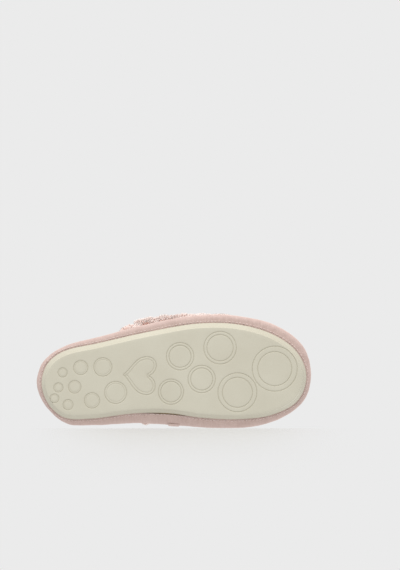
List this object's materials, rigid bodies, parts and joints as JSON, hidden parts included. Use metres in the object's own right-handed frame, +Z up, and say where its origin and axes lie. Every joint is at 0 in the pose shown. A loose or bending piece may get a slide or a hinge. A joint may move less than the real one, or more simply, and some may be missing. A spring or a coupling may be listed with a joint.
{
  "type": "fluffy house slipper",
  "caption": "Open-back plush house slipper for the right foot: bow on the vamp, bound padded footbed, moulded outsole with ring recesses.",
  "frame": {"origin": "on the ground, under the middle of the slipper's box", "axes": "+Z up, +Y towards the heel, so the toe points along -Y; +X towards the inner side of the right foot"},
  "size_m": [0.111, 0.263, 0.0838],
  "materials": {
    "outsole_rubber": "matt moulded thermoplastic rubber, cream",
    "fibreboard": "plain cellulose insole board",
    "foam": "open-cell polyurethane foam",
    "fleece": "short pale pink fleece",
    "binding_suede": "matt dusty pink microfibre suede tape",
    "thread": "pale pink sewing thread",
    "plush": "dense tufted pale pink plush",
    "bow_suede": "matt dusty pink microfibre suede"
  },
  "bodies": {
    "root": {"outsole": "outsole_rubber", "insole_board": "fibreboard", "midsole_foam": "foam", "comfort_foam": "foam", "footbed_sock": "fleece", "binding_tape": "binding_suede", "binding_lap": "binding_suede", "binding_seam": "thread", "vamp_plush": "plush", "vamp_interlining": "foam", "vamp_lining": "fleece", "throat_trim": "plush", "bow_knot": "bow_suede", "bow_loop_inner": "bow_suede", "bow_loop_outer": "bow_suede", "bow_tail_inner": "bow_suede", "bow_tail_outer": "bow_suede"}
  },
  "joints": []
}
